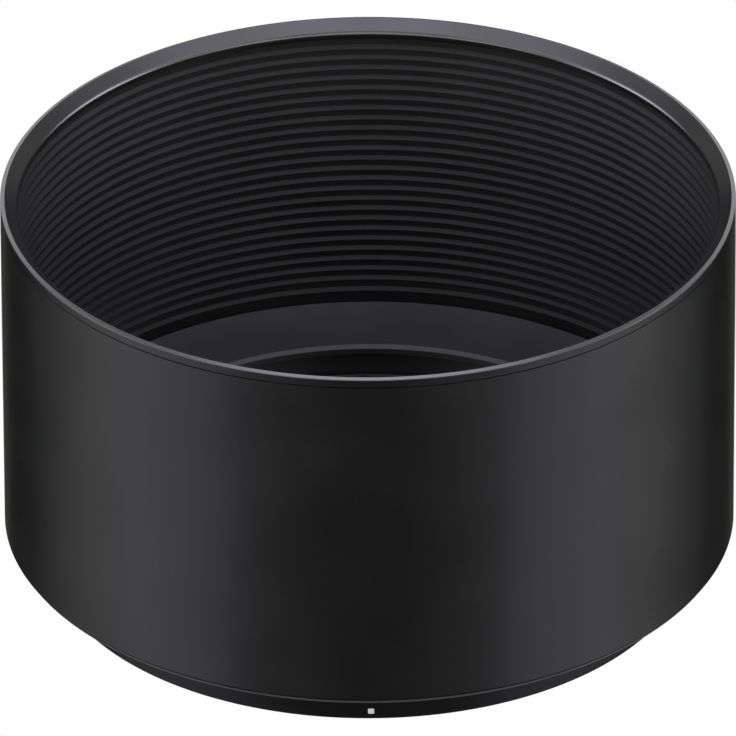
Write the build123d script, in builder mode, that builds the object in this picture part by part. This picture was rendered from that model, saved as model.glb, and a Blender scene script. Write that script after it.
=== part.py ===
from build123d import *
import os
from math import cos, radians, sin

# A round metal lens hood that locks on a lens by a bayonet collar at its rear.
# It stands on that collar: the rear edge is at Z = 0, the hood's axis is Z and
# the front opening looks up. The index mark is on the -Y side. Millimetres.

# ---- driving dimensions ----------------------------------------------------
outer_radius = 46.0  # barrel and front ring, flush
total_height = 52.2

# Rear collar and the flange that screws it to the base ring
collar_radius = 40.4
register_radius = 38.5  # rear bore that slides over the lens front
tab_bore_radius = 38.0  # from the lugs up, where the lens's own tabs sit
flange_bottom = 5.45
flange_top = 8.2
flange_radius = 44.4
collar_lead_in = 0.4
collar_edge_round = 0.3

# Bayonet lugs
lug_count = 3
lug_radius = 37.2
lug_bottom = 2.75
lug_top = 4.5
lug_angle = 44.0
lug_edge = 0.15
first_lug_angle = 90.0

# Base ring: carries the barrel, the sleeve and the bayonet ring
base_flange_radius = 45.5
base_flange_top = 5.92
base_counterbore_radius = 44.5
spigot_radius = 45.2  # slides into the barrel
sleeve_seat_z = 10.4
shoulder_radius = 44.35
shoulder_top = 11.28
shoulder_edge = 0.15
cone_foot_radius = 36.6
cone_foot_z = 9.4
cone_hollow_radius = 23.5  # the cone sags along an arc of this radius
stop_lip_radius = 36.15  # a chamfer from the cone's foot leads down to it

# Barrel
barrel_bore_radius = 45.25
barrel_rear_bevel = (0.2, 0.28)  # radial, axial
seam_z = total_height - 1.35
seam_gap = 0.15  # mouth of the V groove between the barrel's end and the front ring
seam_depth = 0.3

# Front ring
rim_ridge_radius = 45.47  # the rim's highest circle
rim_drop = 0.15  # from the ridge outward to the outer edge
rim_edge_round = 0.08
lip_radius = 43.8
lip_edge_z = total_height - 1.28
lip_edge_round = 0.7
lip_bottom = total_height - 2.27
lip_underside_round = 0.4

# Ribbed light-trap sleeve
rib_count = 24
rib_pitch = 1.47
first_rib_edge_z = total_height - 3.86  # sharp lower edge of the first crest
rib_crest_radius = 44.15
rib_root_radius = 44.55
rib_crest_height = 0.08
rib_ramp_height = 0.42
rib_undercut_height = 0.04
last_rib_drop = 0.31  # the rearmost rib's edge is this much lower than its pitch
last_rib_crest_height = 0.23
sleeve_skirt_radius = 44.6
sleeve_top = total_height - 2.32

# Six countersunk screws that hold the bayonet ring
screw_count = 6
first_screw_angle = 30.0
screw_circle_radius = 42.4
screw_hole_radius = 0.85
screw_thread_radius = 0.79
screw_sink_radius = 1.5
screw_head_radius = 1.4
screw_head_depth = 0.08  # head face below the flange's rear face
screw_tip_z = 9.5
screw_tip_chamfer = 0.2
tapped_hole_radius = 0.8
tapped_hole_top = 9.8
recess_width = 0.32
recess_length = 1.6
recess_depth = 0.45

# Three sprung ball detents and one stop pin, all radial, in the flange. Each ball
# is just behind a locked tab of the lens, and the pin is just ahead of one tab.
detent_z = 6.9
detent_lag = 28.3  # from the middle of a lug back to its ball, in degrees
stop_pin_lead = 28.1  # from the middle of the first lug on to the pin
detent_bore_radius = 0.8
ball_radius = 0.75
ball_centre_radius = 38.45
neck_radius = 0.7
neck_depth = 0.15
plug_radius = 0.79
plug_inner_end = 42.4
plug_outer_end = 44.2
plug_socket_across = 0.7
plug_socket_depth = 0.8
spring_mean_radius = 0.52
spring_wire_radius = 0.1
spring_inner_end = 39.18
spring_outer_end = 42.25
spring_turns = 6.5
stop_pin_radius = 0.7
stop_pin_inner_end = 37.25
stop_pin_outer_end = 43.9
stop_pin_chamfer = 0.1

# White index mark let into the collar
mark_width = 0.8
mark_height = 0.78
mark_corner = 0.12
mark_centre_z = 1.16
mark_depth = 0.3

os.makedirs("parts", exist_ok=True)


def radial_plane(angle, radius, height):
    """A plane at this radius and height whose normal points outward."""
    outward = (cos(radians(angle)), sin(radians(angle)), 0)
    origin = (radius * outward[0], radius * outward[1], height)
    return Plane(origin=origin, x_dir=(0, 0, 1), z_dir=outward)


lug_angles = [first_lug_angle + 360 / lug_count * i for i in range(lug_count)]
detent_angles = [angle - detent_lag for angle in lug_angles]
stop_pin_angle = first_lug_angle + stop_pin_lead

# ---- front ring: bevelled rim whose lip covers the end of the sleeve -------
with BuildPart() as front_ring:
    with BuildSketch(Plane.XZ):
        with BuildLine():
            Polyline(
                (outer_radius, seam_z + seam_gap),
                (outer_radius, total_height - rim_drop),
                (rim_ridge_radius, total_height),
                (lip_radius, lip_edge_z),
                (lip_radius, lip_bottom),
                (spigot_radius, lip_bottom),
                (spigot_radius, seam_z),
                (outer_radius - seam_depth, seam_z),
                close=True,
            )
        make_face()
    revolve(axis=Axis.Z)
    rim_circles = front_ring.edges().filter_by(GeomType.CIRCLE)
    outer_edge = rim_circles.sort_by(Axis.Z)[-2]
    lip_edges = rim_circles.group_by(SortBy.RADIUS)[0].sort_by(Axis.Z)
    fillet(outer_edge, rim_edge_round)
    fillet(lip_edges[-1], lip_edge_round)
    fillet(lip_edges[0], lip_underside_round)

# ---- outer barrel: the smooth visible tube ---------------------------------
bevel_radial, bevel_axial = barrel_rear_bevel
with BuildPart() as outer_barrel:
    with BuildSketch(Plane.XZ):
        with BuildLine():
            Polyline(
                (barrel_bore_radius, base_flange_top),
                (outer_radius - bevel_radial, base_flange_top),
                (outer_radius, base_flange_top + bevel_axial),
                (outer_radius, seam_z),
                (barrel_bore_radius, seam_z),
                close=True,
            )
        make_face()
    revolve(axis=Axis.Z)


# ---- ribbed sleeve that lines the barrel -----------------------------------
def rib_points(lower_edge_z, crest_height):
    """One rib's outline from the top down: ramp, crest and steep underside."""
    crest_top = lower_edge_z + crest_height
    return [
        (rib_root_radius, crest_top + rib_ramp_height),
        (rib_crest_radius, crest_top),
        (rib_crest_radius, lower_edge_z),
        (rib_root_radius, lower_edge_z - rib_undercut_height),
    ]


sleeve_outline = [
    (spigot_radius, sleeve_seat_z),
    (spigot_radius, sleeve_top),
    (rib_root_radius, sleeve_top),
]
for rib in range(rib_count):
    sleeve_outline += rib_points(first_rib_edge_z - rib * rib_pitch, rib_crest_height)
last_edge_z = first_rib_edge_z - rib_count * rib_pitch - last_rib_drop
sleeve_outline += rib_points(last_edge_z, last_rib_crest_height)[:3]
sleeve_outline += [
    (sleeve_skirt_radius, last_edge_z - rib_undercut_height),
    (sleeve_skirt_radius, sleeve_seat_z),
]

with BuildPart() as baffle_sleeve:
    with BuildSketch(Plane.XZ):
        with BuildLine():
            Polyline(*sleeve_outline, close=True)
        make_face()
    revolve(axis=Axis.Z)

# ---- base ring: hollowed cone, stop lip and screw seat ---------------------
shoulder = (shoulder_radius - shoulder_edge, shoulder_top)
cone_foot = (cone_foot_radius, cone_foot_z)
stop_lip_edge = cone_foot_radius - stop_lip_radius
with BuildPart() as base_ring:
    with BuildSketch(Plane.XZ):
        with BuildLine():
            RadiusArc(shoulder, cone_foot, cone_hollow_radius)
            Polyline(
                cone_foot,
                (stop_lip_radius, cone_foot_z - stop_lip_edge),
                (stop_lip_radius, flange_top),
                (base_counterbore_radius, flange_top),
                (base_counterbore_radius, flange_bottom),
                (base_flange_radius, flange_bottom),
                (base_flange_radius, base_flange_top),
                (spigot_radius, base_flange_top),
                (spigot_radius, sleeve_seat_z),
                (shoulder_radius, sleeve_seat_z),
                (shoulder_radius, shoulder_top - shoulder_edge),
                shoulder,
            )
        make_face()
    revolve(axis=Axis.Z)
    with BuildSketch(Plane.XY.offset(flange_top)):
        with PolarLocations(screw_circle_radius, screw_count, first_screw_angle):
            Circle(tapped_hole_radius)
    extrude(amount=tapped_hole_top - flange_top, mode=Mode.SUBTRACT)

# ---- bayonet ring: collar, lugs and screwed flange -------------------------
lug_gap_half_angle = radians((360 / lug_count - lug_angle) / 2)
gap_reach = 2 * tab_bore_radius
gap_corner = (gap_reach * cos(lug_gap_half_angle), gap_reach * sin(lug_gap_half_angle))
with BuildPart() as bayonet_ring:
    with BuildSketch(Plane.XZ):
        with BuildLine():
            Polyline(
                (register_radius + collar_lead_in, 0),
                (collar_radius, 0),
                (collar_radius, flange_bottom),
                (flange_radius, flange_bottom),
                (flange_radius, flange_top),
                (tab_bore_radius, flange_top),
                (tab_bore_radius, lug_bottom),
                (register_radius, lug_bottom),
                (register_radius, collar_lead_in),
                close=True,
            )
        make_face()
    revolve(axis=Axis.Z)
    rear_circles = bayonet_ring.edges().filter_by(GeomType.CIRCLE).group_by(Axis.Z)[0]
    fillet(rear_circles.sort_by(SortBy.RADIUS)[-1], collar_edge_round)
    # the lugs: a ring inside the bore with three gaps for the lens's own tabs
    with BuildSketch(Plane.XY.offset(lug_bottom)):
        Circle(register_radius)
        Circle(lug_radius, mode=Mode.SUBTRACT)
        with PolarLocations(0, lug_count, start_angle=first_lug_angle + 180):
            Polygon(
                (0, 0),
                (gap_corner[0], -gap_corner[1]),
                gap_corner,
                align=None,
                mode=Mode.SUBTRACT,
            )
    extrude(amount=lug_top - lug_bottom)
    lug_tips = bayonet_ring.faces().filter_by(GeomType.CYLINDER)
    lug_tips = lug_tips.filter_by(lambda face: abs(face.radius - lug_radius) < 0.01)
    tip_arcs = lug_tips.edges().filter_by(GeomType.CIRCLE)
    chamfer(tip_arcs, lug_edge)
    # screw holes, countersunk from the rear
    with Locations(Plane.XY.offset(flange_bottom).rotated((180, 0, 0))):
        with PolarLocations(screw_circle_radius, screw_count, -first_screw_angle):
            CounterSinkHole(screw_hole_radius, screw_sink_radius, depth=flange_top - flange_bottom)
    # detent bores, drilled from the rim to a narrower neck at the inner wall
    for angle in detent_angles:
        with BuildSketch(radial_plane(angle, tab_bore_radius + neck_depth, detent_z)):
            Circle(detent_bore_radius)
        extrude(amount=flange_radius - tab_bore_radius, mode=Mode.SUBTRACT)
        with BuildSketch(radial_plane(angle, lug_radius, detent_z)):
            Circle(neck_radius)
        extrude(amount=flange_radius - lug_radius, mode=Mode.SUBTRACT)
    with BuildSketch(radial_plane(stop_pin_angle, lug_radius, detent_z)):
        Circle(stop_pin_radius)
    extrude(amount=collar_radius, mode=Mode.SUBTRACT)
    # pocket for the index mark
    with BuildSketch(Plane.XZ.offset(collar_radius - mark_depth)):
        with Locations((0, mark_centre_z)):
            RectangleRounded(mark_width, mark_height, mark_corner)
    extrude(amount=2 * mark_depth, mode=Mode.SUBTRACT)

# ---- index mark: enamel that fills its pocket flush with the collar --------
with BuildPart() as index_mark:
    with BuildSketch(Plane.XZ.offset(collar_radius - mark_depth)):
        with Locations((0, mark_centre_z)):
            RectangleRounded(mark_width, mark_height, mark_corner)
    extrude(amount=2 * mark_depth)
    Cylinder(collar_radius, 2 * flange_bottom, mode=Mode.INTERSECT)

# ---- stop pin that ends the turn of the bayonet ----------------------------
with BuildPart() as stop_pin:
    with BuildSketch(radial_plane(stop_pin_angle, stop_pin_inner_end, detent_z)):
        Circle(stop_pin_radius)
    extrude(amount=stop_pin_outer_end - stop_pin_inner_end)
    chamfer(stop_pin.edges().filter_by(GeomType.CIRCLE), stop_pin_chamfer)

# ---- flange screws: countersunk heads with a cross recess ------------------
head_z = flange_bottom + screw_head_depth
head_height = screw_head_radius - screw_thread_radius
upward = (Align.CENTER, Align.CENTER, Align.MIN)
with BuildPart() as flange_screws:
    with Locations((0, 0, head_z)):
        with PolarLocations(screw_circle_radius, screw_count, first_screw_angle):
            Cone(screw_head_radius, screw_thread_radius, head_height, align=upward)
            Cylinder(screw_thread_radius, screw_tip_z - head_z, align=upward)
            Box(recess_length, recess_width, recess_depth, align=upward, mode=Mode.SUBTRACT)
            Box(recess_width, recess_length, recess_depth, align=upward, mode=Mode.SUBTRACT)
    tips = flange_screws.edges().filter_by(GeomType.CIRCLE).group_by(Axis.Z)[-1]
    chamfer(tips, screw_tip_chamfer)


# ---- sprung detents: ball, coil spring and threaded plug -------------------
def detent_ball(angle):
    """The ball, resting against the neck of its bore."""
    with BuildPart() as ball:
        with Locations(radial_plane(angle, ball_centre_radius, detent_z)):
            Sphere(ball_radius)
    return ball.part


def detent_spring(angle):
    """The coil spring between ball and plug, wound about the bore's axis."""
    length = spring_outer_end - spring_inner_end
    start = radial_plane(angle, spring_inner_end, detent_z)
    with BuildPart() as spring:
        with BuildLine() as coil:
            Helix(
                length / spring_turns,
                length,
                spring_mean_radius,
                center=start.origin,
                direction=start.z_dir,
            )
        with BuildSketch(Plane(origin=coil.line @ 0, z_dir=coil.line % 0)):
            Circle(spring_wire_radius)
        sweep(path=coil.line, is_frenet=True)
    return spring.part


def detent_plug(angle):
    """The headless screw that closes the bore, with a hexagon socket."""
    with BuildPart() as plug:
        with BuildSketch(radial_plane(angle, plug_inner_end, detent_z)):
            Circle(plug_radius)
        extrude(amount=plug_outer_end - plug_inner_end)
        with BuildSketch(radial_plane(angle, plug_outer_end - plug_socket_depth, detent_z)):
            RegularPolygon(plug_socket_across / 2, 6, major_radius=False)
        extrude(amount=plug_socket_depth, mode=Mode.SUBTRACT)
    return plug.part


# ---- write one file for each piece -----------------------------------------
pieces = {
    "front_ring": front_ring.part,
    "outer_barrel": outer_barrel.part,
    "baffle_sleeve": baffle_sleeve.part,
    "base_ring": base_ring.part,
    "bayonet_ring": bayonet_ring.part,
    "index_mark": index_mark.part,
    "stop_pin": stop_pin.part,
    "flange_screws": flange_screws.part,
}
for number, angle in enumerate(detent_angles, start=1):
    pieces[f"detent_ball_{number}"] = detent_ball(angle)
    pieces[f"detent_spring_{number}"] = detent_spring(angle)
    pieces[f"detent_plug_{number}"] = detent_plug(angle)

for name, piece in pieces.items():
    piece.label = name
    export_step(piece, f"parts/{name}.step")
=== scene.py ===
from math import asin, atan2, cos, pi, radians, sin, tan

import bmesh
import bpy
from mathutils import Matrix, Vector
from mathutils.kdtree import KDTree


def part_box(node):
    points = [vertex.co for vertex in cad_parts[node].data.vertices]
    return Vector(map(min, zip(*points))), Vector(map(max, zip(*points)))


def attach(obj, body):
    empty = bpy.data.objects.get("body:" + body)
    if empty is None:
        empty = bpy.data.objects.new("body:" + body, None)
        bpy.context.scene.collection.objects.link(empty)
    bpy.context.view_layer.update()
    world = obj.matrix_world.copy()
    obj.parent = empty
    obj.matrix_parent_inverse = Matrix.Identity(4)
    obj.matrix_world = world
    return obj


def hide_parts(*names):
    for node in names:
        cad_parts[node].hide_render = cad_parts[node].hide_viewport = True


# The looks of the lens hood. Outlines are in millimetres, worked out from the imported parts' own
# boxes, and are turned about the hood's axis. Every piece is made in metres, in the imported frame.

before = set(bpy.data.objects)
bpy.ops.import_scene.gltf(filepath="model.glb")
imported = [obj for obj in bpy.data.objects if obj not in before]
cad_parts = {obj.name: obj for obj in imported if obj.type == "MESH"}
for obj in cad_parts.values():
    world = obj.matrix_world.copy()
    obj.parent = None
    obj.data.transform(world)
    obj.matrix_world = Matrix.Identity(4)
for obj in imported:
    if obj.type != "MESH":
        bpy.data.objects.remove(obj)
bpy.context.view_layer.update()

MM = 0.001
ROUND_STEPS = 256  # divisions round the hood
LUG_STEPS = 32  # divisions along a lug
SPINDLE_STEPS = 40  # divisions round a small turned part
BALL_ROWS = 24  # divisions of a ball from pole to pole
TINY = 0.03  # edge break, in mm, on corners that are sharp in the design
FINE_EDGE = TINY / 2  # edge break of the ribs and of the lugs' backs
SEAM_EDGE = TINY / 6  # edge break at the mouth of the seam, which shows as one dark line
ARC_STEP = 0.4  # the longest step along a wide rounded edge, in mm
STRAIGHT = 1e-6  # the least turn of a corner, so that a straight one divides safely
TOOL_REACH = 1  # how far a cutting tool passes the surface that it leaves by, in mm
RING_SHARP_ANGLE = 38  # degrees between faces, from which the edge between them shows
SMALL_SHARP_ANGLE = 50  # the same, on the pin and the mark


def extent(node):
    """A node's largest radius, lowest and highest height, in millimetres."""
    low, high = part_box(node)
    return high.x / MM, low.z / MM, high.z / MM


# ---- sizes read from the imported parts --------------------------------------
outer_radius, barrel_bottom, seam_z = extent("outer_barrel")
_, lip_bottom, total_height = extent("front_ring")
spigot_radius, sleeve_bottom, sleeve_top = extent("baffle_sleeve")
base_radius, base_bottom, shoulder_top = extent("base_ring")
flange_radius, _, flange_top = extent("bayonet_ring")
_, screw_head_z, screw_tip_z = extent("flange_screws")
mark_low, mark_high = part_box("index_mark")
collar_radius = -mark_low.y / MM

# ---- sizes of the outlines, as in the design -------------------------------
seam_gap = 0.15
seam_depth = 0.3
rim_ridge_radius = 45.47
rim_drop = 0.15
rim_edge_round = 0.08
lip_radius = 43.8
lip_edge_z = total_height - 1.28
lip_edge_round = 0.7
lip_underside_round = 0.4
barrel_bore_radius = 45.25
barrel_bevel = (0.2, 0.28)

rib_count = 24
rib_pitch = 1.47
first_rib_edge_z = total_height - 3.86
rib_crest_radius = 44.15
rib_root_radius = 44.55
rib_crest_height = 0.08
rib_ramp_height = 0.42
rib_undercut = 0.04
last_rib_drop = 0.31
last_rib_crest_height = 0.23
skirt_radius = 44.6

shoulder_radius = 44.35
shoulder_edge = 0.15
cone_foot_radius = 36.6
cone_foot_z = 9.4
cone_hollow_radius = 23.5  # the cone sags inward along an arc of this radius
stop_lip_radius = 36.15
counterbore_radius = 44.5
base_flange_top = barrel_bottom

register_radius = 38.5
tab_bore_radius = 38.0
lead_in = 0.4
collar_edge_round = 0.3
lug_radius = 37.2
lug_bottom = 2.75
lug_top = 4.5
lug_angle = 44.0
lug_edge = 0.15
lug_angles = (90.0, 210.0, 330.0)

screw_circle_radius = 42.4
screw_count = 6
first_screw_angle = 30.0
screw_hole_radius = 0.85
screw_sink_radius = 1.5
screw_sink_half_angle = 41
screw_head_radius = 1.4
screw_head_edge = 0.05
screw_thread_radius = 0.79
screw_tip_edge = 0.2
tapped_hole_radius = 0.8
tapped_hole_top = 9.8
recess_width = 0.32
recess_length = 1.6
recess_depth = 0.45
recess_foot = 0.72  # the cross at its foot, as a share of its size at the head

detent_angles = [angle - 28.3 for angle in lug_angles]
detent_z = 6.9
detent_bore_radius = 0.8
neck_radius = 0.7
neck_depth = 0.15
neck_end = tab_bore_radius + neck_depth
ball_radius = 0.75
ball_centre_radius = 38.45
stop_pin_angle = 118.1
stop_pin_radius = 0.7
stop_pin_ends = (37.25, 43.9)
stop_pin_clearance = 0.015
stop_pin_edge = 0.1
stop_pin_break = 0.3  # where the pin's rounded edge turns, as a share of it

mark_width = 0.8
mark_height = 0.78
mark_corner = 0.12
mark_centre_z = (mark_low.z + mark_high.z) / 2 / MM
mark_depth = 0.3
mark_steps = 6
mark_edge_round = mark_corner * 0.9
mark_edge_sag = 0.03
mark_set_back = 0.005


# ---- shapes turned from an outline -----------------------------------------
def rounded(corners, steps=3):
    """Points and outward normals along a closed outline of (radius, height, edge round)."""
    points = []
    normals = []
    for i, (r, z, edge) in enumerate(corners):
        before = Vector(corners[i - 1][:2])
        here = Vector((r, z))
        after = Vector(corners[(i + 1) % len(corners)][:2])
        into = (here - before).normalized()
        out = (after - here).normalized()
        turn = atan2(into.x * out.y - into.y * out.x, into.dot(out))
        room = min((here - before).length, (after - here).length) - TINY
        edge = min(edge, room / max(abs(tan(turn / 2)), STRAIGHT))
        normal = Vector((into.y, -into.x))
        side = 1 if turn > 0 else -1
        centre = here - into * edge * abs(tan(turn / 2)) - normal * side * edge
        parts = max(steps, int(abs(turn) * edge / ARC_STEP))
        for k in range(parts + 1):
            facing = Matrix.Rotation(turn * k / parts, 2) @ normal
            points.append(centre + facing * side * edge)
            normals.append(facing)
    return points, normals


def turned_mesh(name, corners, arc_steps=3, round_steps=ROUND_STEPS, start=0.0, sweep=360.0):
    """The solid that an outline makes when it turns about Z. The outline runs anticlockwise."""
    points, normals = rounded(corners, arc_steps)
    closed = sweep == 360.0
    stations = round_steps if closed else round_steps + 1
    turns = [radians(start + sweep * k / round_steps) for k in range(stations)]
    vertices = [(p.x * cos(a) * MM, p.x * sin(a) * MM, p.y * MM) for a in turns for p in points]
    facing = [(n.x * cos(a), n.x * sin(a), n.y) for a in turns for n in normals]
    size = len(points)
    faces = []
    for k in range(round_steps):
        here = k * size
        there = (k + 1) % stations * size
        for i in range(size):
            j = (i + 1) % size
            faces.append((here + i, there + i, there + j, here + j))
    if not closed:
        faces.append(tuple(range(size)))
        faces.append(tuple(reversed(range(round_steps * size, stations * size))))
    mesh = bpy.data.meshes.new(name)
    mesh.from_pydata(vertices, [], faces)
    if closed:
        mesh.polygons.foreach_set("use_smooth", [True] * len(faces))
        mesh.normals_split_custom_set_from_vertices(facing)
    return mesh


def add_object(name, mesh):
    piece = bpy.data.objects.new(name, mesh)
    bpy.context.scene.collection.objects.link(piece)
    return piece


def stand_in(piece, node, body):
    """The piece takes the CAD node's place and rides on its body."""
    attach(piece, body)
    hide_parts(node)
    return piece


def turned(node, corners, arc_steps=3):
    """A ring of the hood's fixed body, turned from its outline, in place of its CAD node."""
    ring = add_object(node + "_turned", turned_mesh(node, corners, arc_steps))
    return stand_in(ring, node, "hood")


# ---- small parts: spindles, prisms and cuts --------------------------------
def spindle(profile, steps=SPINDLE_STEPS):
    """A solid turned about Z from (radius, height) points that begin and end on the axis."""
    made = bmesh.new()
    turns = [2 * pi * k / steps for k in range(steps)]
    rings = []
    for r, z in profile[1:-1]:
        rings.append([made.verts.new((r * cos(a) * MM, r * sin(a) * MM, z * MM)) for a in turns])
    poles = [made.verts.new((0, 0, profile[end][1] * MM)) for end in (0, -1)]
    for k in range(steps):
        j = (k + 1) % steps
        made.faces.new((poles[0], rings[0][j], rings[0][k]))
        made.faces.new((poles[1], rings[-1][k], rings[-1][j]))
        for low, high in zip(rings, rings[1:]):
            made.faces.new((low[k], low[j], high[j], high[k]))
    bmesh.ops.recalc_face_normals(made, faces=made.faces)
    return made


def prism(outlines):
    """A solid through closed outlines of points in metres, each with as many as the next."""
    made = bmesh.new()
    rings = [[made.verts.new(p) for p in outline] for outline in outlines]
    for low, high in zip(rings, rings[1:]):
        for k in range(len(low)):
            j = (k + 1) % len(low)
            made.faces.new((low[k], low[j], high[j], high[k]))
    made.faces.new(rings[0])
    made.faces.new(rings[-1])
    bmesh.ops.recalc_face_normals(made, faces=made.faces)
    return made


def outward_along(angle):
    """Turns Z to point outward from the hood's axis at this angle, at the detents' height."""
    lift = Matrix.Translation((0, 0, detent_z * MM))
    return lift @ Matrix.Rotation(radians(angle), 4, "Z") @ Matrix.Rotation(pi / 2, 4, "Y")


def joined(name, solids):
    """One object of several solids, given as (bmesh, matrix)."""
    mesh = bpy.data.meshes.new(name)
    total = bmesh.new()
    for solid, place in solids:
        solid.transform(place)
        single = bpy.data.meshes.new("single")
        solid.to_mesh(single)
        total.from_mesh(single)
        solid.free()
        bpy.data.meshes.remove(single)
    total.to_mesh(mesh)
    total.free()
    return add_object(name, mesh)


def combined(piece, tool, operation):
    """The piece with a tool's volume cut from it or added to it, as a plain mesh."""
    modifier = piece.modifiers.new("combine", "BOOLEAN")
    modifier.operation = operation
    modifier.solver = "EXACT"
    modifier.object = tool
    evaluated = piece.evaluated_get(bpy.context.evaluated_depsgraph_get())
    mesh = bpy.data.meshes.new_from_object(evaluated)
    piece.modifiers.clear()
    piece.data = mesh
    bpy.data.objects.remove(tool)
    return piece


def crisp(piece, angle=RING_SHARP_ANGLE):
    """Smooth shading that stops at sharp edges and leaves flat faces flat."""
    piece.data.shade_smooth()
    piece.data.set_sharp_from_angle(angle=radians(angle))
    weighting = piece.modifiers.new("even", "WEIGHTED_NORMAL")
    weighting.keep_sharp = True
    weighting.weight = 100
    return piece


LEAN = 0.02  # how far a face may lean round the axis and still be a turned one
ON_OUTLINE = 0.003  # how near, in mm, a vertex lies to the outline's point that it came from
SAME_WAY = 0.8  # how well that point's normal has to agree with the face's own


def turned_shading(piece, *outlines):
    """Smooth shading for a cut ring: each face that is still turned is shaded by its outline."""
    mesh = piece.data
    mesh.shade_smooth()
    mesh.set_sharp_from_angle(angle=radians(RING_SHARP_ANGLE))
    points = []
    normals = []
    for corners in outlines:
        more_points, more_normals = rounded(corners)
        points += more_points
        normals += more_normals
    tree = KDTree(len(points))
    for i, point in enumerate(points):
        tree.insert((point.x, point.y, 0), i)
    tree.balance()
    shading = [corner.vector.copy() for corner in mesh.corner_normals]
    for face in mesh.polygons:
        outward = Vector((face.center.x, face.center.y, 0)).normalized()
        sideways = face.normal.cross(outward).z
        if abs(sideways) > LEAN:
            continue
        flat = Vector((face.normal.dot(outward), face.normal.z))
        for corner in face.loop_indices:
            place = mesh.vertices[mesh.loops[corner].vertex_index].co
            radius = place.xy.length
            _, nearest, distance = tree.find((radius / MM, place.z / MM, 0))
            known = distance < ON_OUTLINE and normals[nearest].dot(flat) > SAME_WAY
            normal = normals[nearest] if known else flat
            across = place.xy.to_3d() / radius
            shading[corner] = across * normal.x + Vector((0, 0, normal.y))
    mesh.normals_split_custom_set(shading)
    return piece


def rounded_rectangle(width, height, corner, steps=4):
    """Points of a rounded rectangle about the origin, anticlockwise, in its own units."""
    points = []
    for quarter, (side, rise) in enumerate(((1, 1), (-1, 1), (-1, -1), (1, -1))):
        for k in range(steps + 1):
            a = pi / 2 * (quarter + k / steps)
            x = side * (width / 2 - corner) + corner * cos(a)
            points.append((x, rise * (height / 2 - corner) + corner * sin(a)))
    return points


# ---- the hood's rings ------------------------------------------------------
def make_front_ring():
    return turned("front_ring", [
        (outer_radius, seam_z + seam_gap, SEAM_EDGE),
        (outer_radius, total_height - rim_drop, rim_edge_round),
        (rim_ridge_radius, total_height, TINY),
        (lip_radius, lip_edge_z, lip_edge_round),
        (lip_radius, lip_bottom, lip_underside_round),
        (spigot_radius, lip_bottom, TINY),
        (spigot_radius, seam_z, TINY),
        (outer_radius - seam_depth, seam_z, TINY),
    ], arc_steps=4)


def make_outer_barrel():
    bevel_radial, bevel_axial = barrel_bevel
    return turned("outer_barrel", [
        (barrel_bore_radius, barrel_bottom, TINY),
        (outer_radius - bevel_radial, barrel_bottom, TINY),
        (outer_radius, barrel_bottom + bevel_axial, TINY),
        (outer_radius, seam_z, SEAM_EDGE),
        (barrel_bore_radius, seam_z, TINY),
    ])


def rib_corners(lower_edge_z, crest_height):
    """One rib from the top down: ramp, crest and steep underside."""
    crest_top = lower_edge_z + crest_height
    return [
        (rib_root_radius, crest_top + rib_ramp_height, TINY),
        (rib_crest_radius, crest_top, TINY),
        (rib_crest_radius, lower_edge_z, FINE_EDGE),
        (rib_root_radius, lower_edge_z - rib_undercut, FINE_EDGE),
    ]


def make_baffle_sleeve():
    corners = [
        (spigot_radius, sleeve_bottom, TINY),
        (spigot_radius, sleeve_top, TINY),
        (rib_root_radius, sleeve_top, TINY),
    ]
    for rib in range(rib_count):
        corners += rib_corners(first_rib_edge_z - rib * rib_pitch, rib_crest_height)
    last_edge_z = first_rib_edge_z - rib_count * rib_pitch - last_rib_drop
    corners += rib_corners(last_edge_z, last_rib_crest_height)[:3]
    corners += [
        (skirt_radius, last_edge_z - rib_undercut, FINE_EDGE),
        (skirt_radius, sleeve_bottom, TINY),
    ]
    return turned("baffle_sleeve", corners, arc_steps=2)


def screw_places():
    """Where the flange screws' axes stand, at Z = 0."""
    for k in range(screw_count):
        turn = Matrix.Rotation(radians(first_screw_angle + 360 * k / screw_count), 4, "Z")
        yield turn @ Matrix.Translation((screw_circle_radius * MM, 0, 0))


def hollow_knee(start, end, radius):
    """The corner whose round of this radius joins two points by one arc, bulging downward."""
    chord = Vector(end) - Vector(start)
    half_turn = asin(chord.length / (2 * radius))
    below = Vector((-chord.y, chord.x)).normalized()
    knee = (Vector(start) + Vector(end)) / 2 + below * tan(half_turn) * chord.length / 2
    return knee.x, knee.y, radius


def make_base_ring():
    shoulder = (shoulder_radius - shoulder_edge, shoulder_top)
    cone_foot = (cone_foot_radius, cone_foot_z)
    lip_edge = cone_foot_radius - stop_lip_radius
    outline = [
        (counterbore_radius, base_bottom, TINY),
        (base_radius, base_bottom, TINY),
        (base_radius, base_flange_top, TINY),
        (spigot_radius, base_flange_top, TINY),
        (spigot_radius, sleeve_bottom, TINY),
        (shoulder_radius, sleeve_bottom, TINY),
        (shoulder_radius, shoulder_top - shoulder_edge, TINY),
        (*shoulder, TINY),
        hollow_knee(shoulder, cone_foot, cone_hollow_radius),
        (*cone_foot, TINY),
        (stop_lip_radius, cone_foot_z - lip_edge, TINY),
        (stop_lip_radius, flange_top, TINY),
        (counterbore_radius, flange_top, TINY),
    ]
    ring = turned("base_ring", outline)
    holes = []
    for place in screw_places():
        profile = [(0, flange_top - TOOL_REACH), (tapped_hole_radius, flange_top - TOOL_REACH)]
        profile += [(tapped_hole_radius, tapped_hole_top), (0, tapped_hole_top)]
        holes.append((spindle(profile), place))
    return turned_shading(combined(ring, joined("tapped_holes", holes), "DIFFERENCE"), outline)


def lug_outline():
    """A lug's section, whose back reaches into the ring so that the two join."""
    return [
        (lug_radius, lug_bottom + TINY, lug_edge),
        (neck_end, lug_bottom + TINY, FINE_EDGE),
        (neck_end, lug_top, FINE_EDGE),
        (lug_radius, lug_top, lug_edge),
    ]


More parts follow.
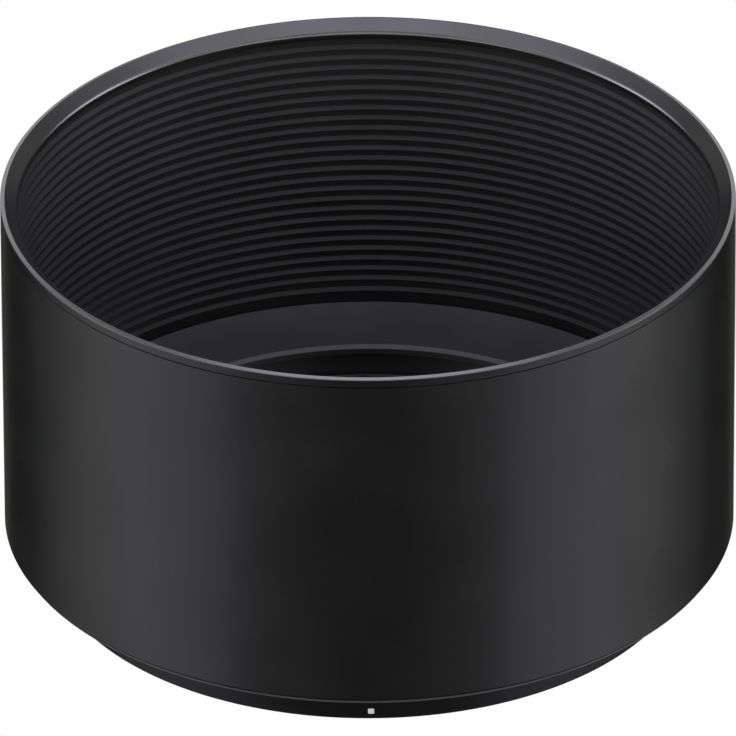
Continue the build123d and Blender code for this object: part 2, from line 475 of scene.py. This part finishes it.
def screw_sinks():
    """The countersunk holes of the flange screws, as tools to cut with."""
    sink = (screw_sink_radius - screw_hole_radius) / tan(radians(screw_sink_half_angle))
    profile = [
        (0, base_bottom - sink),
        (2 * screw_sink_radius - screw_hole_radius, base_bottom - sink),
        (screw_hole_radius, base_bottom + sink),
        (screw_hole_radius, flange_top + TOOL_REACH),
        (0, flange_top + TOOL_REACH),
    ]
    return [(spindle(profile), place) for place in screw_places()]


def detent_bores():
    """The bores for the balls and springs, with the neck that keeps each ball in."""
    profile = [
        (0, lug_radius),
        (neck_radius, lug_radius),
        (neck_radius, neck_end),
        (detent_bore_radius, neck_end),
        (detent_bore_radius, flange_radius + TOOL_REACH),
        (0, flange_radius + TOOL_REACH),
    ]
    return [(spindle(profile), outward_along(angle)) for angle in detent_angles]


def stop_pin_bore():
    radius = stop_pin_radius + stop_pin_clearance
    ends = (lug_radius, flange_radius + TOOL_REACH)
    profile = [(0, ends[0]), (radius, ends[0]), (radius, ends[1]), (0, ends[1])]
    return spindle(profile), outward_along(stop_pin_angle)


def mark_pocket():
    """The pocket in the collar for the enamel, as a tool to cut with."""
    pocket = rounded_rectangle(mark_width, mark_height, mark_corner)
    walls = []
    for depth in (collar_radius - mark_depth, collar_radius + mark_depth):
        walls.append([(x * MM, -depth * MM, (mark_centre_z + z) * MM) for x, z in pocket])
    return prism(walls), Matrix.Identity(4)


def make_bayonet_ring():
    outline = [
        (register_radius + lead_in, 0, TINY),
        (collar_radius, 0, collar_edge_round),
        (collar_radius, base_bottom, TINY),
        (flange_radius, base_bottom, TINY),
        (flange_radius, flange_top, TINY),
        (tab_bore_radius, flange_top, TINY),
        (tab_bore_radius, lug_bottom, TINY),
        (register_radius, lug_bottom, TINY),
        (register_radius, lead_in, TINY),
    ]
    ring = turned("bayonet_ring", outline)
    for angle in lug_angles:
        lug = turned_mesh("lug", lug_outline(), 3, LUG_STEPS, angle - lug_angle / 2, lug_angle)
        combined(ring, add_object("lug", lug), "UNION")
    cuts = screw_sinks() + detent_bores() + [stop_pin_bore(), mark_pocket()]
    combined(ring, joined("cuts", cuts), "DIFFERENCE")
    return turned_shading(ring, outline, lug_outline())


# ---- small pieces ----------------------------------------------------------
def make_index_mark():
    """Enamel in the collar's pocket: its face follows the collar and rounds over at the edge."""
    rows = [(0, mark_depth)]
    for k in range(mark_steps + 1):
        inward = k / mark_steps
        sag = mark_edge_sag * (1 - (1 - (1 - inward) ** 2) ** 0.5)
        rows.append((inward * mark_edge_round, sag + mark_set_back))
    outlines = []
    for shrink, sunk in rows:
        width = mark_width - 2 * shrink
        height = mark_height - 2 * shrink
        outline = []
        for x, z in rounded_rectangle(width, height, mark_corner - shrink):
            y = -(collar_radius ** 2 - x ** 2) ** 0.5 + sunk
            outline.append((x * MM, y * MM, (mark_centre_z + z) * MM))
        outlines.append(outline)
    mark = joined("index_mark_enamel", [(prism(outlines), Matrix.Identity(4))])
    return crisp(stand_in(mark, "index_mark", "hood"), SMALL_SHARP_ANGLE)


def make_stop_pin():
    inner, outer = stop_pin_ends
    narrow = stop_pin_radius - stop_pin_edge
    break_start = stop_pin_edge * stop_pin_break
    profile = [
        (0, inner),
        (narrow, inner),
        (stop_pin_radius - break_start, inner + break_start),
        (stop_pin_radius, inner + stop_pin_edge),
        (stop_pin_radius, outer - stop_pin_edge),
        (narrow, outer),
        (0, outer),
    ]
    pin = joined("stop_pin_turned", [(spindle(profile), outward_along(stop_pin_angle))])
    return crisp(stand_in(pin, "stop_pin", "hood"), SMALL_SHARP_ANGLE)


def cross_recess():
    """The cross in a screw's head, a little narrower at its foot, as a tool to cut with."""
    arm = recess_length / 2
    half = recess_width / 2
    cross = []
    for quarter in range(4):
        turn = Matrix.Rotation(-pi / 2 * quarter, 2)
        cross += [turn @ Vector(corner) for corner in ((half, half), (arm, half), (arm, -half))]
    levels = (
        (screw_head_z - screw_head_edge, 1.0),
        (screw_head_z + recess_depth / 2, 1.0),
        (screw_head_z + recess_depth, recess_foot),
    )
    walls = []
    for z, scale in levels:
        walls.append([(x * scale * MM, y * scale * MM, z * MM) for x, y in cross])
    return prism(walls)


def make_flange_screws():
    """Six countersunk screws with a cross recess, heads towards the rear."""
    edge = screw_head_edge
    profile = [
        (0, screw_head_z),
        (screw_head_radius - 2 * edge, screw_head_z),
        (screw_head_radius - edge, screw_head_z + edge / 3),
        (screw_head_radius - edge, screw_head_z + edge),
        (screw_thread_radius, screw_head_z + screw_head_radius - screw_thread_radius),
        (screw_thread_radius, screw_tip_z - screw_tip_edge),
        (screw_thread_radius - screw_tip_edge, screw_tip_z),
        (0, screw_tip_z),
    ]
    screws = joined("flange_screws_turned", [(spindle(profile), place) for place in screw_places()])
    recesses = joined("recesses", [(cross_recess(), place) for place in screw_places()])
    combined(screws, recesses, "DIFFERENCE")
    return crisp(stand_in(screws, "flange_screws", "hood"))


def make_detent_ball(number, angle):
    ball = bmesh.new()
    bmesh.ops.create_uvsphere(
        ball, u_segments=SPINDLE_STEPS, v_segments=BALL_ROWS, radius=ball_radius * MM
    )
    place = outward_along(angle) @ Matrix.Translation((0, 0, ball_centre_radius * MM))
    node = f"detent_ball_{number}"
    piece = stand_in(joined(node + "_turned", [(ball, place)]), node, f"ball_{number}")
    piece.data.shade_smooth()
    return piece


# ---- materials -------------------------------------------------------------
# Noise scales, per metre.
CLOUD_SCALE = 90
ETCH_SCALE = 7000
TOOL_MARK_SCALE = 9000
ENAMEL_CLOUD_SCALE = 4000
ENAMEL_RELIEF_SCALE = 6000
SCRATCH_SCALE = 5000
POLISH_SCALE = 1500
BLACK_DYE = (0.002, 0.002, 0.002, 1)
BLACK_DYE_LIGHT = (0.003, 0.003, 0.003, 1)
BLACK_ROUGHNESS = 0.26
ROUGHNESS_SWING = 0.015  # how far the clouds in the dye change the roughness, either way
GRAIN = 3e-6  # height of the etched grain, in metres
PAINTED_SHADE_BLEND = 0.05  # width of the step between a ring's own colour and its painted light or painted shade, in mm


class Nodes:
    """Adds nodes to a material's or the world's tree."""

    def __init__(self, owner):
        owner.use_nodes = True
        self.tree = owner.node_tree

    def add(self, kind, inputs=(), **settings):
        """A node of this kind. Inputs pairs a socket's name or number with a value or an output."""
        node = self.tree.nodes.new("ShaderNode" + kind)
        for name, value in settings.items():
            setattr(node, name, value)
        for socket, value in dict(inputs).items():
            if isinstance(value, bpy.types.NodeSocket):
                self.tree.links.new(value, node.inputs[socket])
            else:
                node.inputs[socket].default_value = value
        return node

    def math(self, operation, *values):
        return self.add("Math", enumerate(values), operation=operation).outputs[0]

    def vector(self, operation, *values):
        node = self.add("VectorMath", enumerate(values), operation=operation)
        return node.outputs["Value" if operation in ("DOT_PRODUCT", "LENGTH") else "Vector"]

    def noise(self, vector, scale, detail=2.0, roughness=0.5):
        inputs = {"Vector": vector, "Scale": scale, "Detail": detail, "Roughness": roughness}
        return self.add("TexNoise", inputs).outputs["Fac"]

    def spread(self, value, low, high, to_low, to_high):
        """A value from low..high moved to to_low..to_high, held at its ends."""
        inputs = {"Value": value, "From Min": low, "From Max": high, "To Min": to_low, "To Max": to_high}
        return self.add("MapRange", inputs).outputs["Result"]

    def mixed(self, factor, first, second):
        """A colour between two colours."""
        return self.add("Mix", {0: factor, 6: first, 7: second}, data_type="RGBA").outputs[2]


def finish_of(name, **constants):
    """A new material's nodes and its shader, with constants on the shader's own sockets."""
    made = bpy.data.materials.new(name)
    nodes = Nodes(made)
    shader = nodes.tree.nodes["Principled BSDF"]
    for socket, value in constants.items():
        shader.inputs[socket.replace("_", " ")].default_value = value
    return made, nodes, shader


def anodised(name, dark, light, roughness, turning=0, specular=0.5, bore=0, painted_bore_shading=1):
    """Black anodised aluminium: fine etched grain, faintly cloudy dye and tool marks.

    Turning is the height of the tool marks, in metres. Inside the radius bore, in millimetres, the dye's
    colour is
    scaled by the factor given last: painted light where it is paler, painted shade where it is darker,
    standing in for how light falls there."""
    made, nodes, shader = finish_of(name, Metallic=0.0, IOR=1.5, Specular_IOR_Level=specular)
    place = nodes.add("TexCoord").outputs["Object"]
    flat = nodes.vector("MULTIPLY", place, (1, 1, 0))
    height = nodes.add("SeparateXYZ", {0: place}).outputs["Z"]
    lathe = nodes.add("CombineXYZ", {"X": nodes.vector("LENGTH", flat), "Y": height}).outputs[0]
    cloud = nodes.noise(place, CLOUD_SCALE, 3)
    etch = nodes.noise(place, ETCH_SCALE, 2)
    marks = nodes.noise(lathe, TOOL_MARK_SCALE, 3, 0.6)
    tone = nodes.math("ADD", nodes.math("MULTIPLY", cloud, 0.6), nodes.math("MULTIPLY", etch, 0.4))
    colour = nodes.mixed(nodes.spread(tone, 0.35, 0.65, 0, 1), dark, light)
    # Painted light or painted shade: inside the bore radius the colour is scaled paler or darker,
    # standing in for how light falls there.
    if bore:
        radius = nodes.vector("LENGTH", flat)
        painted_shading = nodes.spread(radius, (bore - PAINTED_SHADE_BLEND) * MM, bore * MM, painted_bore_shading, 1)
        scaled = nodes.add("VectorMath", {0: colour, "Scale": painted_shading}, operation="SCALE")
        colour = scaled.outputs["Vector"]
    grain = nodes.math("MULTIPLY", etch, GRAIN)
    relief = nodes.math("ADD", grain, nodes.math("MULTIPLY", marks, turning))
    bump = nodes.add("Bump", {"Strength": 1.0, "Distance": 1.0, "Height": relief})
    links = nodes.tree.links
    links.new(colour, shader.inputs["Base Color"])
    swing = ROUGHNESS_SWING
    uneven = nodes.spread(tone, 0.3, 0.7, roughness - swing, roughness + swing)
    links.new(uneven, shader.inputs["Roughness"])
    links.new(bump.outputs["Normal"], shader.inputs["Normal"])
    return made


def satin_black():
    """The outside of the hood."""
    return anodised("satin_black", BLACK_DYE, BLACK_DYE_LIGHT, BLACK_ROUGHNESS)


def collar_black():
    """The bayonet ring, with painted light: its bore, lugs and register are coloured 3.6 times paler
    than outside, standing in for light that falls into the bore.
    """
    dye = (BLACK_DYE, BLACK_DYE_LIGHT)
    # painted light: everything inside this radius is coloured paler to stand in for the light on the
    # lugs and bore wall
    bore = tab_bore_radius + 1.2
    return anodised("collar_black", *dye, BLACK_ROUGHNESS, specular=0.2, bore=bore, painted_bore_shading=3.6)


def matte_black():
    """The ribbed sleeve, turned and left dull."""
    dark = (0.0047, 0.0047, 0.0049, 1)
    light = (0.0071, 0.0071, 0.0073, 1)
    return anodised("matte_black", dark, light, 0.5, turning=4e-6, specular=0.1)


def dull_black():
    """The base ring: its cone is the palest of the blacks, and its stop lip's wall has painted shade,
    coloured four times darker for the shadow that would fall on it.
    """
    dark = (0.016, 0.016, 0.0168, 1)
    light = (0.024, 0.024, 0.0248, 1)
    # painted shade: inside this radius the stop lip's wall is coloured darker in place of a shadow
    bore = stop_lip_radius + PAINTED_SHADE_BLEND
    return anodised("dull_black", dark, light, 0.45, specular=0.2, bore=bore, painted_bore_shading=0.25)


def enamel():
    """Light grey enamel: slightly uneven tone and a soft orange-peel surface."""
    made, nodes, shader = finish_of("mark_enamel", Metallic=0.0, IOR=1.5)
    place = nodes.add("TexCoord").outputs["Object"]
    cloud = nodes.noise(place, ENAMEL_CLOUD_SCALE, 3)
    colour = nodes.mixed(cloud, (0.24, 0.24, 0.235, 1), (0.32, 0.32, 0.315, 1))
    peel = nodes.noise(place, ENAMEL_RELIEF_SCALE, 2)
    bump = nodes.add("Bump", {"Strength": 0.4, "Distance": 4e-6, "Height": peel})
    links = nodes.tree.links
    links.new(colour, shader.inputs["Base Color"])
    links.new(nodes.spread(cloud, 0.3, 0.7, 0.35, 0.5), shader.inputs["Roughness"])
    links.new(bump.outputs["Normal"], shader.inputs["Normal"])
    return made


def bare_metal(name, dark, light, roughness, metallic=1.0):
    """Steel with fine uneven polish."""
    made, nodes, shader = finish_of(name, Metallic=metallic)
    place = nodes.add("TexCoord").outputs["Object"]
    scratches = nodes.noise(nodes.vector("MULTIPLY", place, (1, 1, 6)), SCRATCH_SCALE, 4, 0.65)
    cloud = nodes.noise(place, POLISH_SCALE, 3)
    bump = nodes.add("Bump", {"Strength": 0.3, "Distance": 2e-6, "Height": scratches})
    links = nodes.tree.links
    links.new(nodes.mixed(cloud, dark, light), shader.inputs["Base Color"])
    uneven = nodes.spread(scratches, 0.3, 0.7, roughness - 0.06, roughness + 0.08)
    links.new(uneven, shader.inputs["Roughness"])
    links.new(bump.outputs["Normal"], shader.inputs["Normal"])
    return made


def black_steel():
    """The screws and the plugs: blackened, so the shader isn't a metal's."""
    return bare_metal("black_steel", (0.012, 0.012, 0.013, 1), (0.022, 0.022, 0.023, 1), 0.42, 0.0)


def polished_steel():
    """The balls and the pin."""
    return bare_metal("polished_steel", (0.50, 0.50, 0.51, 1), (0.62, 0.62, 0.63, 1), 0.22)


def spring_wire():
    return bare_metal("spring_wire", (0.36, 0.36, 0.37, 1), (0.48, 0.48, 0.49, 1), 0.34)


def dress(piece, material):
    piece.data.materials.clear()
    piece.data.materials.append(material)


# ---- the studio ------------------------------------------------------------
# Soft lights at an endless distance, the same on the left as on the right. For each: how far it
# stands round from the index mark's side, how high, how far from its middle it has faded out, all
# in degrees, and its colour.
SOFTBOXES = [
    (0, 20, 24, (5.0, 5.0, 5.0)),
    (0, 50, 15, (2.0, 1.95, 2.2)),
    (0, 76, 18, (2.4, 2.3, 2.8)),
    (60, 60, 30, (3.2, 3.15, 3.7)),
    (45, 30, 30, (1.1, 1.15, 0.8)),
    (90, 30, 30, (2.35, 2.3, 2.75)),
    (135, 30, 30, (0.47, 0.47, 0.47)),
    (180, 66, 17, (6.6, 6.5, 7.2)),
    (180, 30, 30, (3.4, 3.4, 3.6)),
    (35, 5, 30, (5.0, 5.0, 5.0)),
    (90, 2, 30, (10.5, 10.5, 10.6)),
    (64, -30, 24, (0.72, 0.69, 0.87)),
    (84, -30, 24, (0.09, 0.09, 0.07)),
    (104, -30, 24, (0.1, 0.11, 0.1)),
    (180, -30, 24, (0.1, 0.1, 0.09)),
]
FULL_LIGHT = 5  # degrees from the middle of a light to where it begins to fade
BACKDROP = (1.0, 1.0, 1.0, 1)
FLOOR_REACH = 4.0  # half the floor's side, in metres


def sky_direction(azimuth, elevation):
    """Where an azimuth, counted from -Y towards +X, and an elevation point, in degrees."""
    a = radians(azimuth)
    e = radians(elevation)
    return Vector((cos(e) * sin(a), -cos(e) * cos(a), sin(e)))


def both_sides(azimuth):
    """The azimuths of a light and of its twin. One in front or behind has no twin."""
    return (azimuth,) if azimuth in (0, 180) else (azimuth, -azimuth)


def soft_patch(nodes, direction, middle, reach, colour):
    """The colour that a soft light sends from each direction."""
    limits = {
        "Value": nodes.vector("DOT_PRODUCT", direction, middle),
        "From Min": cos(radians(reach)),
        "From Max": cos(radians(FULL_LIGHT)),
    }
    amount = nodes.add("MapRange", limits, interpolation_type="SMOOTHSTEP").outputs["Result"]
    scaled = nodes.add("VectorMath", {0: colour, "Scale": amount}, operation="SCALE")
    return scaled.outputs["Vector"]


def make_studio():
    """A white backdrop to the eye, and soft lights for everything else."""
    world = bpy.data.worlds.new("studio")
    bpy.context.scene.world = world
    nodes = Nodes(world)
    direction = nodes.add("TexCoord").outputs["Generated"]
    light = nodes.add("CombineXYZ").outputs[0]
    for azimuth, elevation, reach, colour in SOFTBOXES:
        for side in both_sides(azimuth):
            middle = sky_direction(side, elevation)
            light = nodes.vector("ADD", light, soft_patch(nodes, direction, middle, reach, colour))
    seen = nodes.add("LightPath").outputs["Is Camera Ray"]
    background = nodes.tree.nodes["Background"]
    nodes.tree.links.new(nodes.mixed(seen, light, BACKDROP), background.inputs["Color"])


def make_floor():
    """A pale floor that only the eye sees, so that the lights alone shape the reflections."""
    corners = []
    for x, y in ((-1, -1), (1, -1), (1, 1), (-1, 1)):
        corners.append((x * FLOOR_REACH, y * FLOOR_REACH, 0))
    mesh = bpy.data.meshes.new("floor")
    mesh.from_pydata(corners, [], [(0, 1, 2, 3)])
    floor = add_object("floor", mesh)
    made = bpy.data.materials.new("floor_white")
    nodes = Nodes(made)
    nodes.tree.nodes.remove(nodes.tree.nodes["Principled BSDF"])
    white = nodes.add("Emission", {"Color": BACKDROP, "Strength": 1.0}).outputs[0]
    clear = nodes.add("BsdfTransparent").outputs[0]
    below = nodes.add("NewGeometry").outputs["Backfacing"]
    surface = nodes.add("MixShader", {0: below, 1: white, 2: clear}).outputs[0]
    nodes.tree.links.new(surface, nodes.tree.nodes["Material Output"].inputs["Surface"])
    dress(floor, made)
    floor.visible_diffuse = False
    floor.visible_glossy = False
    floor.visible_shadow = False


def make_camera():
    """A long lens that looks down into the hood from the front, nearly square to the index mark."""
    elevation = radians(29.62)
    azimuth = radians(-0.2)
    distance = 2.314  # from the rim's centre, in metres
    aim = Vector((-0.08 * MM, 0, 27.12 * MM))
    roll = radians(-0.22)
    sensor_width = 36
    focal_length = 905.4
    rim = Vector((0, 0, total_height * MM))
    back = Vector((sin(azimuth) * cos(elevation), -cos(azimuth) * cos(elevation), sin(elevation)))
    lens = bpy.data.cameras.new("camera")
    lens.sensor_width = sensor_width
    lens.lens = focal_length
    lens.clip_end = 10
    camera = add_object("camera", lens)
    camera.location = rim + back * distance
    look = (aim - camera.location).to_track_quat("-Z", "Y").to_matrix().to_4x4()
    camera.matrix_world = Matrix.Translation(camera.location) @ look @ Matrix.Rotation(roll, 4, "Z")
    bpy.context.scene.camera = camera


def main():
    satin = satin_black()
    collar = collar_black()
    matte = matte_black()
    dull = dull_black()
    blackened = black_steel()
    polished = polished_steel()
    wire = spring_wire()

    dress(make_front_ring(), satin)
    dress(make_outer_barrel(), satin)
    dress(make_baffle_sleeve(), matte)
    dress(make_base_ring(), dull)
    dress(make_bayonet_ring(), collar)
    dress(make_index_mark(), enamel())
    dress(make_stop_pin(), polished)
    dress(make_flange_screws(), blackened)
    for number, angle in enumerate(detent_angles, start=1):
        dress(make_detent_ball(number, angle), polished)
        dress(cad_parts[f"detent_spring_{number}"], wire)
        dress(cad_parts[f"detent_plug_{number}"], blackened)

    make_studio()
    make_floor()
    make_camera()
    bpy.context.scene.view_settings.view_transform = "Standard"


main()
